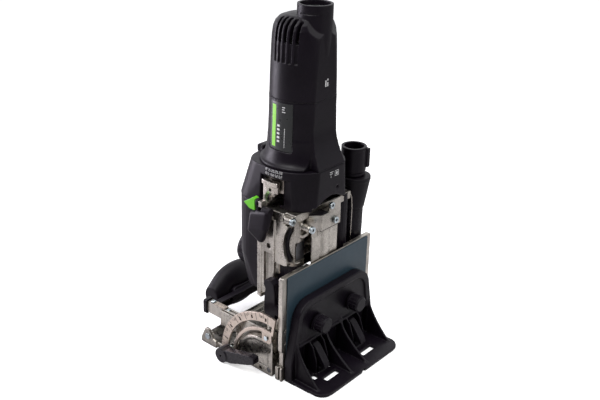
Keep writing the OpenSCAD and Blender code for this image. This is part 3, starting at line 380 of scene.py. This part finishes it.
def around(centre, radius, angle):
    return centre[0] + radius * math.cos(angle), centre[1] + radius * math.sin(angle)


def at_z(points, z):
    return [(x, y, z) for x, y in points]


def band(outer, inner, z):
    """Quads between two plan outlines with equal point counts."""
    return [at_z((outer[k], outer[k + 1], inner[k + 1], inner[k]), z)
            for k in range(len(outer) - 1)]


def prisms(loops, direction):
    """Closed prisms, each a planar loop of points pushed along the direction."""
    bm = bmesh.new()
    push = Vector(direction) * MM
    for loop in loops:
        low = [bm.verts.new(Vector(point) * MM) for point in loop]
        high = [bm.verts.new(Vector(point) * MM + push) for point in loop]
        bm.faces.new(low)
        bm.faces.new(high[::-1])
        count = len(loop)
        for k in range(count):
            after = (k + 1) % count
            bm.faces.new((low[k], high[k], high[after], low[after]))
    return bm


def frame_of(axis):
    along = Vector(axis).normalized()
    side = along.orthogonal().normalized()
    return along, side, along.cross(side)


def lathe(base, axis, profile, sides):
    """Solid of revolution; the profile is (distance along the axis, radius)."""
    bm = bmesh.new()
    along, side, other = frame_of(axis)
    rings = []
    for distance, radius in profile:
        centre = Vector(base) + along * distance
        if radius < 1e-6:
            rings.append([bm.verts.new(centre * MM)])
            continue
        ring = []
        for k in range(sides):
            angle = 2 * math.pi * k / sides
            spoke = side * math.cos(angle) + other * math.sin(angle)
            ring.append(bm.verts.new((centre + spoke * radius) * MM))
        rings.append(ring)
    for near, far in zip(rings, rings[1:]):
        for k in range(sides):
            corners = (near[k % len(near)], near[(k + 1) % len(near)],
                       far[(k + 1) % len(far)], far[k % len(far)])
            corners = list(dict.fromkeys(corners))
            if len(corners) > 2:
                bm.faces.new(corners)
    return bm


def tube(bm, path, radius, sides=10):
    """Add a round wire along the path."""
    path = [Vector(point) for point in path]
    rings = []
    for k, point in enumerate(path):
        ahead = (path[min(k + 1, len(path) - 1)] - path[max(k - 1, 0)]).normalized()
        side = ahead.cross(Vector((0.31, 0.77, 0.55))).normalized()
        other = ahead.cross(side)
        ring = []
        for i in range(sides):
            angle = 2 * math.pi * i / sides
            spoke = side * math.cos(angle) + other * math.sin(angle)
            ring.append(bm.verts.new((point + spoke * radius) * MM))
        rings.append(ring)
    for near, far in zip(rings, rings[1:]):
        for k in range(sides):
            after = (k + 1) % sides
            bm.faces.new((near[k], near[after], far[after], far[k]))
    bm.faces.new(rings[0])
    bm.faces.new(rings[-1][::-1])
    return bm


# ------------------------------------------------------------------ printed marks
# bars of a digit: lower left and upper right corner, in digit heights
BARS = {
    "a": ((0.08, 0.9), (0.52, 1.0)), "b": ((0.5, 0.52), (0.6, 0.95)),
    "c": ((0.5, 0.05), (0.6, 0.48)), "d": ((0.08, 0.0), (0.52, 0.1)),
    "e": ((0.0, 0.05), (0.1, 0.48)), "f": ((0.0, 0.52), (0.1, 0.95)),
    "g": ((0.08, 0.45), (0.52, 0.55)),
}
DIGITS = {"0": "abcdef", "1": "bc", "2": "abged", "3": "abgcd", "4": "fgbc",
          "5": "afgcd", "6": "afgedc", "7": "abc", "8": "abcdefg", "9": "abcdfg"}
DIGIT_PITCH = 0.8  # in digit heights


def number(text, x, y, height):
    """Rectangles that draw a number in bar digits, lower left corner at x, y."""
    rects = []
    for k, digit in enumerate(text):
        left = x + k * height * DIGIT_PITCH
        for bar in DIGITS[digit]:
            (x0, y0), (x1, y1) = BARS[bar]
            rects.append(((left + x0 * height, y + y0 * height),
                          (left + x1 * height, y + y1 * height)))
    return rects


MARK_STEP = 2.0    # longest cell of a mark
MARK_REACH = 12.0  # how far off the plane the surface is looked for
MARK_DEPTH = 0.25  # how far a mark sinks into the surface


def marks(name, rects, node, origin, along, up=Z_AXIS, body="motor_unit", ink="ink_white",
          slot="label_grey", thick=0.08):
    """Lay thin rectangles of the (along, up) plane on the finished surface of a CAD node."""
    surface = BVHTree.FromObject(NODES[node], bpy.context.evaluated_depsgraph_get())
    origin, along, up = Vector(origin), Vector(along).normalized(), Vector(up).normalized()
    out = along.cross(up).normalized()
    bm = bmesh.new()

    def drop(x, y):
        start = origin + along * x + up * y + out * MARK_REACH
        hit = surface.ray_cast(start * MM, -out, 2 * MARK_REACH * MM)[0]
        return None if hit is None else hit / MM

    for (x0, y0), (x1, y1) in rects:
        nx = max(1, math.ceil(abs(x1 - x0) / MARK_STEP))
        ny = max(1, math.ceil(abs(y1 - y0) / MARK_STEP))
        grid = [[drop(x0 + (x1 - x0) * i / nx, y0 + (y1 - y0) * j / ny)
                 for j in range(ny + 1)] for i in range(nx + 1)]
        if any(point is None for column in grid for point in column):
            continue
        top, low = [[[bm.verts.new((point + out * lift) * MM) for point in column]
                     for column in grid] for lift in (thick, -MARK_DEPTH)]
        for i in range(nx):
            for j in range(ny):
                bm.faces.new((top[i][j], top[i + 1][j], top[i + 1][j + 1], top[i][j + 1]))
                bm.faces.new((low[i][j], low[i][j + 1], low[i + 1][j + 1], low[i + 1][j]))
        for i in range(nx):
            bm.faces.new((top[i][0], low[i][0], low[i + 1][0], top[i + 1][0]))
            bm.faces.new((top[i][ny], top[i + 1][ny], low[i + 1][ny], low[i][ny]))
        for j in range(ny):
            bm.faces.new((top[0][j], top[0][j + 1], low[0][j + 1], low[0][j]))
            bm.faces.new((top[nx][j], low[nx][j], low[nx][j + 1], top[nx][j + 1]))
    if bm.verts:
        add(name, bm, body, slot, ink, smooth=False)
    else:  # every rectangle ran off the surface
        bm.free()


def round_motor(radius, degrees, z):
    """Point and tangent on a cylinder about the motor axis."""
    angle = math.radians(degrees)
    return (*around((0, MOTOR_Y), radius, angle), z), (-math.sin(angle), math.cos(angle), 0)


# label on the left side: a green bar, white blocks, short lines and a dashed hairline
LABEL_PLACE = round_motor(31.2, 180, 234)
marks("label_green_bar", [((-9.6, -19), (-4.6, 19.5))], "label_plate", *LABEL_PLACE,
      ink="ink_green", slot="lever_green", thick=0.06)
rows = [((-2.6, -14 + k * 3.6), (0.4, -12.2 + k * 3.6)) for k in range(5)]
rows += [((2.6, 14.0), (6.0, 14.7)), ((2.6, 16.2), (5.2, 16.9)), ((2.6, 18.2), (5.6, 18.9))]
rows += [((5.4, -18 + k * 1.5), (6.0, -17.0 + k * 1.5)) for k in range(12)]
marks("label_white_rows", rows, "label_plate", *LABEL_PLACE, thick=0.06)

# two rows of numbers and a row of ticks on the left of the shroud
DEPTH_NUMBERS = (("12", "10"), ("15", "51"), ("20", "02"), ("25", "52"), ("28", "82"))
DEPTH_PITCH, DEPTH_DIGIT = 4.2, 2.3
rects = []
for k, (upper, lower) in enumerate(DEPTH_NUMBERS):
    shift = k * DEPTH_PITCH
    rects += number(upper, -9.4 + shift, 6.4, DEPTH_DIGIT)
    rects += number(lower, -9.4 + shift, 2.6, DEPTH_DIGIT)
    rects.append(((-8.0 + shift, -0.6), (-7.6 + shift, 1.6)))
marks("depth_numbers", rects, "shroud", *round_motor(42.0, 181, 188))

# front of the shroud: two lines and a short stroke, then a square in a frame
marks("shroud_setting_marks", [
    ((-6.2, 2.2), (-1.2, 2.8)), ((-6.2, 0.4), (-2.2, 1.0)), ((1.0, -2.6), (6.4, -2.1)),
    ((1.0, 2.2), (6.4, 2.7)), ((1.0, -2.6), (1.5, 2.7)), ((5.9, -2.6), (6.4, 2.7)),
    ((2.6, -1.2), (4.8, 1.2)), ((-4.8, -2.8), (-4.2, -0.6)),
], "shroud", (3.0, 0.3, 190.4), (1, 0, 0))

# front of the rear cap: a long bar, a short bar and a square dot
marks("grip_mark", [((-2.6, -3.2), (-1.0, 2.4)), ((0.0, -3.2), (1.6, 0.6)),
                    ((0.0, 2.0), (1.6, 3.6))], "rear_cap", (1.0, 10.6, 273.0), (1, 0, 0))

# ------------------------------------------------------------------ tilt scale, facing left
TILT_Y, TILT_Z = 15.0, 6.0  # centre of the scale
TICK_X, NUMBER_X = -68.42, -68.5
TICK_OUTER = 60.0
NUMBER_RADIUS, NUMBER_HEIGHT = 57.4, 2.1


def on_tilt_scale(x, angle, radial, across):
    c, s = math.cos(angle), math.sin(angle)
    return x, TILT_Y + radial * c - across * s, TILT_Z + radial * s + across * c


ticks = []
for k in range(19):
    angle = math.radians(-1 + k * 5.1)
    # every third tick is longer and wider
    inner, half = (57.2, 0.16) if k % 3 else (53.0, 0.24)
    ticks.append([on_tilt_scale(TICK_X, angle, *corner) for corner in (
        (inner, -half), (TICK_OUTER, -half), (TICK_OUTER, half), (inner, half))])
add("tilt_scale_lines", prisms(ticks, (-0.16, 0, 0)), "fence", "black_smooth", "ink_dark",
    smooth=False)

for text, degrees in (("0", 6.0), ("22", 23.5), ("45", 43.0), ("67", 62.0), ("90", 82.5)):
    angle = math.radians(degrees)
    loops = [[on_tilt_scale(NUMBER_X, angle, NUMBER_RADIUS + y, -x)
              for x, y in ((x0, y0), (x1, y0), (x1, y1), (x0, y1))]
             for (x0, y0), (x1, y1) in number(text, -0.85 * len(text), -1.0, NUMBER_HEIGHT)]
    add("tilt_number_" + text, prisms(loops, (-0.1, 0, 0)), "fence", "black_smooth",
        "ink_dark", smooth=False)

# ------------------------------------------------------------------ ruler on the left column
# 1 mm ticks, every fifth one longer
rects = [((k * 1.0, -2.6), (k * 1.0 + 0.28, 0.2 if k % 5 else 1.9)) for k in range(15)]
marks("column_ruler_lines", rects, "height_scale", (-52.9, 85.0, 39.4), (0, 1, 0), (-1, 0, 0),
      body="guide_frame", ink="ink_dark", slot="black_smooth", thick=0.05)


def screw(name, base, radius, height):
    """Domed upright screw with a cross recess drawn as a dark prism: painted shade."""
    # columns: share of the height, share of the radius
    profile = ((0, 0), (0, 0.94), (0.5, 1), (0.82, 0.86), (1, 0.5), (1, 0.34), (0.45, 0.26),
               (0.45, 0))
    add(name, lathe(base, Z_AXIS, [(height * h, radius * r) for h, r in profile], 28),
        "guide_frame", "screw_zinc")
    axis, side, other = frame_of(Z_AXIS)
    centre = Vector(base) + axis * (height * 0.46)
    long, wide = radius * 0.62, radius * 0.13
    recess_shade_loops = [[centre - u * long - v * wide, centre + u * long - v * wide,
              centre + u * long + v * wide, centre - u * long + v * wide]
             for u, v in ((side, other), (other, side))]
    # the dark cross prism is painted shade of the recess
    add(name + "_recess_shade", prisms(recess_shade_loops, axis * (height * 0.47)), "guide_frame", "dark_steel")


screw("ruler_screw", (-52.7, 102.5, 38.55), radius=2.5, height=1.8)
screw("ruler_screw_inner", (-52.7, 81.0, 38.55), radius=2.0, height=0.35)

# ------------------------------------------------------------------ curved seam of the gear head
SEAM_CENTRE = (-14, 130)  # y, z
BOSS_RADIUS = 8.6         # long boss round the left rod
RIM_MIN_Y = 8.6           # the rims stop short of this y
RIM_STEPS = 40


def boss_x(y):
    """Left face of the long boss, with 0.05 mm clearance."""
    return -ROD_X - math.sqrt(max(0.0, BOSS_RADIUS ** 2 - (y - ROD_Y) ** 2)) - 0.05


def seam_rim(name, inner, outer, wire_radius, start, end, x_at):
    """Toothed arc with a wire along one edge."""
    def angle_at(step):
        return math.radians(start + (end - start) * step / RIM_STEPS)

    teeth = []
    for k in range(RIM_STEPS):
        a, b = angle_at(k), angle_at(k + 0.55)
        corners = [around(SEAM_CENTRE, radius, angle)
                   for radius, angle in ((inner, a), (outer, a), (outer, b), (inner, b))]
        if min(y for y, z in corners) > RIM_MIN_Y:
            teeth.append([(x_at(y), y, z) for y, z in corners])
    arc = [around(SEAM_CENTRE, wire_radius, angle_at(k)) for k in range(RIM_STEPS + 1)]
    wire = [(x_at(y) + 0.25, y, z) for y, z in arc if y > RIM_MIN_Y]
    add(name, tube(prisms(teeth, (0.7, 0, 0)), wire, 0.3, sides=8), "motor_unit",
        "bright_steel")


seam_rim("seam_rim_outer", inner=32.6, outer=33.8, wire_radius=32.6, start=-30, end=32,
         x_at=lambda y: -44.72)
seam_rim("seam_rim_inner", inner=27.2, outer=28.4, wire_radius=28.4, start=-26, end=34,
         x_at=boss_x)

# dark plate in the hollow beside the long boss: painted shade
shade_plate_outline = [(-36.0, 112), (-24.5, 112), (-24.5, 130.5), (-33.5, 130.5), (-36.0, 126)]  # x, z
add("hollow_shade_plate", prisms([[(x, 10.95, z) for x, z in shade_plate_outline]], (0, -0.9, 0)),
    "motor_unit", "dark_steel", bevel=0.25)

# black strip in the curved seam, standing for the shaded gap: painted shade
STRIP_INNER, STRIP_OUTER = 28.8, 32.5
angles = [math.radians(-33 + 66 * k / 40) for k in range(41)]
angles = [a for a in angles if around(SEAM_CENTRE, STRIP_INNER, a)[0] > 8.8]
loops = [[(-41.3, *around(SEAM_CENTRE, radius, angle)) for radius, angle in (
    (STRIP_INNER, a), (STRIP_OUTER, a), (STRIP_OUTER, b), (STRIP_INNER, b))]
    for a, b in zip(angles, angles[1:])]
add("seam_gap_shade", prisms(loops, (0.5, 0, 0)), "motor_unit", "black_rubber", smooth=False)

# ------------------------------------------------------------------ dust guards on the rod bosses
GUARD_Z = 89.0


def guard_arc(rod_x, radius, degrees):
    return [around((rod_x, ROD_Y), radius, math.radians(d)) for d in degrees]


# left: lower part of the boss, with a straight tail towards the back
sweep = range(180, 300, 12)
outer = [(-41.1, 27.8), (-41.1, 19.0)] + guard_arc(-ROD_X, 9.1, sweep)
inner = [(-40.15, 27.8), (-40.15, 19.0)] + guard_arc(-ROD_X, 8.65, sweep)
add("rod_guard_left", prisms(band(outer, inner, GUARD_Z), (0, 0, 18.4)), "motor_unit",
    "black_plastic", smooth=False)
# right: a taller arc and a flap
sweep = range(-168, 41, 13)
outer, inner = guard_arc(ROD_X, 9.5, sweep), guard_arc(ROD_X, 8.75, sweep)
add("rod_guard_right", prisms(band(outer, inner, GUARD_Z), (0, 0, 70.5)), "motor_unit",
    "black_plastic", smooth=False)
flap = [(23.7, 13.4), (31.0, 8.0), (31.6, 8.6), (24.6, 14.6)]
add("rod_guard_flap", prisms([at_z(flap, 104)], (0, 0, 52.5)), "motor_unit", "black_plastic",
    bevel=0.2)

# ------------------------------------------------------------------ gear cover painted shadows and housing seam
# dark line under the ledge of the gear cover: painted shadow of the ledge
ledge_shadow_outline = [(-14.6, 2.5), (-14.6, -1.0), (12.4, -1.0), (13.8, 0.6), (13.8, 2.5)]
add("cover_ledge_shadow", prisms([at_z(ledge_shadow_outline, 138.5)], (0, 0, 0.66)), "motor_unit", "black_rubber",
    smooth=False)
# dark piece on top of the gear cover: painted shadow cast by the shroud
top_shadow_outline = [(-22.4, 8.4), (-14.6, -0.9), (-5.0, -0.9), (-5.0, 7.4)]
add("cover_top_shadow", prisms([at_z(top_shadow_outline, 154.85)], (0, 0, 0.9)), "motor_unit", "black_rubber",
    bevel=0.25)

# dark line between housing and rear cap: a round back and a flat front
SEAM_RADIUS, SEAM_WIDTH, SEAM_Z = 30.26, 0.9, 257.75
first = math.asin((10.55 - MOTOR_Y) / SEAM_RADIUS)
angles = [first + (math.pi - 2 * first) * k / 72 for k in range(73)]
outer, inner = [[around((0, MOTOR_Y), radius, angle) for angle in angles]
                for radius in (SEAM_RADIUS, SEAM_RADIUS - SEAM_WIDTH)]
half = SEAM_RADIUS * math.cos(first)
front = at_z([(-half, 10.54), (half, 10.54), (half, 11.3), (-half, 11.3)], SEAM_Z)
add("housing_seam", prisms(band(outer, inner, SEAM_Z) + [front], (0, 0, 0.55)), "motor_unit",
    "black_rubber", smooth=False)

# ------------------------------------------------------------------ cable socket and guard wire
SOCKET_Y = 25.5
for k, x in enumerate((-4.6, 4.6)):
    profile = [(0, 0), (0, 1.5), (9.5, 1.5), (10.6, 0.9), (10.9, 0)]
    add("socket_pin_%d" % (k + 1), lathe((x, SOCKET_Y, 321.5), Z_AXIS, profile, 20),
        "motor_unit", "bright_steel")
profile = [(0, 9.9), (0, 12.9), (5.6, 12.9), (5.6, 12.2), (1.4, 11.4), (1.4, 9.9), (0, 9.9)]
add("socket_ring", lathe((0, SOCKET_Y, 329.9), Z_AXIS, profile, 64), "motor_unit",
    "label_grey")

# thin guard wire between gear head and dust duct
path = [(43.5, 9.5, 100), (43.2, 8.8, 112), (43.0, 8.4, 126), (42.8, 8.2, 140),
        (42.6, 9.0, 152), (41.8, 11.0, 157)]
add("guard_wire", tube(bmesh.new(), path, 0.6), "motor_unit", "bright_steel")

# ------------------------------------------------------------------ pads and caps
# end pad set into the left end of the handle
handle_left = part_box("handle_grip")[0][0] / MM
profile = [(0, 0), (0, 7.2), (0.9, 7.2), (1.3, 6.8), (1.3, 6.0), (1.0, 5.7), (1.0, 0)]
add("handle_end_pad", lathe((handle_left + 1.6, 122.0, 30.0), (-1, 0, 0), profile, 40),
    "guide_frame", "black_smooth")

# knob centre caps with a raised ring, on the front of the knobs
for x, knob in ((-26, "left"), (26, "right")):
    knob_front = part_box("knob_" + knob)[0][1] / MM
    profile = [(0, 0), (0, 5.4), (0.45, 5.4), (0.5, 4.9), (0.28, 4.6), (0.28, 1.5),
               (0.5, 1.3), (0.5, 0)]
    add("knob_cap_" + knob, lathe((x, knob_front + 0.55, 51.8), (0, -1, 0), profile, 40),
        "knob_" + knob, "black_smooth")

# ring cap on the pivot of the angle lever
profile = [(0, 1.3), (0, 5.6), (0.55, 5.6), (0.6, 5.2), (0.35, 4.9), (0.35, 2.0), (0.55, 1.8),
           (0.55, 1.3), (0, 1.3)]
add("angle_lever_cap", lathe((-81.4, 63.5, 7.7), (-1, 0, 0), profile, 36),
    "angle_clamp_lever", "black_plastic")

# ------------------------------------------------------------------ plunge springs
# closed end turns
SPRING_LOW, SPRING_HIGH = 48.9, 87.1  # wire centre, z
COIL_RADIUS, COIL_WIRE = 6.3, 0.65
TURNS, TURN_STEPS = 8, 24
END_TURNS, END_PITCH = 0.9, 1.4       # at each end
FREE_PITCH = ((SPRING_HIGH - SPRING_LOW - 2 * END_TURNS * END_PITCH)
              / (TURNS - 2 * END_TURNS))
for rod_x, side in ((-ROD_X, "left"), (ROD_X, "right")):
    path, z = [], SPRING_LOW
    for k in range(TURN_STEPS * TURNS + 1):
        turn = k / TURN_STEPS
        path.append((*around((rod_x, ROD_Y), COIL_RADIUS, 2 * math.pi * turn), z))
        closed = turn < END_TURNS or turn >= TURNS - END_TURNS
        z += (END_PITCH if closed else FREE_PITCH) / TURN_STEPS
    coil = add("spring_coil_" + side, tube(bmesh.new(), path, COIL_WIRE), "guide_frame",
               "spring_steel")
    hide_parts("plunge_spring_" + side)
    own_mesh(coil)

# lip inside the mouth of the dust spigot
profile = [(0, 9.7), (0, 12.25), (1.0, 12.34), (1.6, 12.2), (2.2, 11.6), (2.2, 9.7), (0, 9.7)]
add("spigot_lip", lathe((56, 19, 195.2), Z_AXIS, profile, 56), "guide_frame", "black_plastic")


# ------------------------------------------------------------------ stage, light, camera (metres)
def make_floor():
    """White paper for the camera; patchy grey for every other ray."""
    mesh = bpy.data.meshes.new("floor")
    bm = bmesh.new()
    bmesh.ops.create_grid(bm, x_segments=2, y_segments=2, size=4.0)
    bm.to_mesh(mesh)
    bm.free()
    floor = link_new("floor", mesh)
    floor.location.z = -0.0004
    look = Look("floor_paper")
    paper = look.mix((0.90, 0.90, 0.905), (0.93, 0.93, 0.93),
                     by=look.remap(look.noise(40.0), span=(0.3, 0.7)))
    seen = look.node("ShaderNodeLightPath").outputs["Is Camera Ray"]
    glow = look.remap(seen, span=(0.0, 1.0), to=(0.02, 0.52))
    patches = look.remap(look.noise(7.0, detail=2.0, rough=0.5), span=(0.40, 0.60))
    grey = look.mix((0.16, 0.15, 0.155), (0.66, 0.65, 0.66), by=patches)
    look.set(Base_Color=look.mix(grey, paper, by=seen), Roughness=0.9,
             Emission_Color=(1.0, 1.0, 1.0), Emission_Strength=glow, Specular_IOR_Level=0.1)
    mesh.materials.append(look.mat)


def make_world():
    """White to the camera; as light, bright behind the tool and dim behind the camera."""
    world = bpy.data.worlds.new("studio")
    SCENE.world = world
    sky = Nodes(world, "ShaderNodeOutputWorld")
    backdrop = sky.node("ShaderNodeBackground", {0: (1, 1, 1), 1: 1.0})
    coords = sky.node("ShaderNodeTexCoord").outputs["Generated"]
    bright_side = Vector((0.78, 0.62, 0.05)).normalized()
    facing = sky.node("ShaderNodeVectorMath", {0: coords, 1: bright_side},
                      operation="DOT_PRODUCT").outputs["Value"]
    strength = sky.remap(facing, span=(-0.5, 0.6), to=(0.07, 0.95))
    light = sky.node("ShaderNodeBackground", {0: (0.97, 0.98, 1.0), 1: strength})
    seen = sky.node("ShaderNodeLightPath").outputs["Is Camera Ray"]
    mixed = sky.node("ShaderNodeMixShader",
                     {0: seen, 1: light.outputs[0], 2: backdrop.outputs[0]})
    sky.feed(sky.output.inputs[0], mixed.outputs[0])


def make_camera():
    """Camera from the front left; returns its level right and backward directions."""
    heading, height, roll = [math.radians(d) for d in (-49.525, 24.27, 1.3667)]
    right = Vector((math.cos(heading), math.sin(heading), 0))
    back = Vector((math.sin(heading) * math.cos(height), -math.cos(heading) * math.cos(height),
                   math.sin(height)))
    up = back.cross(right)
    rolled_right = right * math.cos(roll) + up * math.sin(roll)
    rolled_up = up * math.cos(roll) - right * math.sin(roll)
    data = bpy.data.cameras.new("camera")
    data.sensor_width = 36.0
    data.lens = 50.5626
    data.clip_start = 0.02
    camera = link_new("camera", data)
    matrix = Matrix((rolled_right, rolled_up, back)).transposed().to_4x4()
    matrix.translation = Vector((-0.55024, -0.43206, 0.47986))
    camera.matrix_world = matrix
    SCENE.camera = camera
    return right, back


make_floor()
make_world()
RIGHT, BACK = make_camera()
TARGET = Vector((0, 0.03, 0.16))
WHITE = (1, 1, 1)
# columns: name, offset from the target (camera right, world up, camera back), size, watts, colour
LIGHTS = (
    ("key", (-0.55, 0.75, 0.55), (0.6, 0.6), 9.0, WHITE),
    ("fill", (0.75, 0.35, 0.45), (0.5, 0.8), 3.0, WHITE),
    ("rim_left", (-0.75, 0.15, -0.25), (0.35, 1.0), 8.0, (0.93, 0.88, 1.0)),
    ("top", (0, 0.95, 0), (0.9, 0.9), 5.0, WHITE),
)
for name, (right, up, back), size, watts, color in LIGHTS:
    data = bpy.data.lights.new(name, "AREA")
    data.shape = "RECTANGLE"
    data.size, data.size_y = size
    data.energy = watts
    data.color = color
    lamp = link_new(name, data)
    place = TARGET + RIGHT * right + Vector((0, 0, up)) + BACK * back
    lamp.location = place
    lamp.rotation_mode = "QUATERNION"
    lamp.rotation_quaternion = (TARGET - place).to_track_quat("-Z", "Y")
SCENE.view_settings.view_transform = "Standard"
SCENE.view_settings.exposure = 0.0
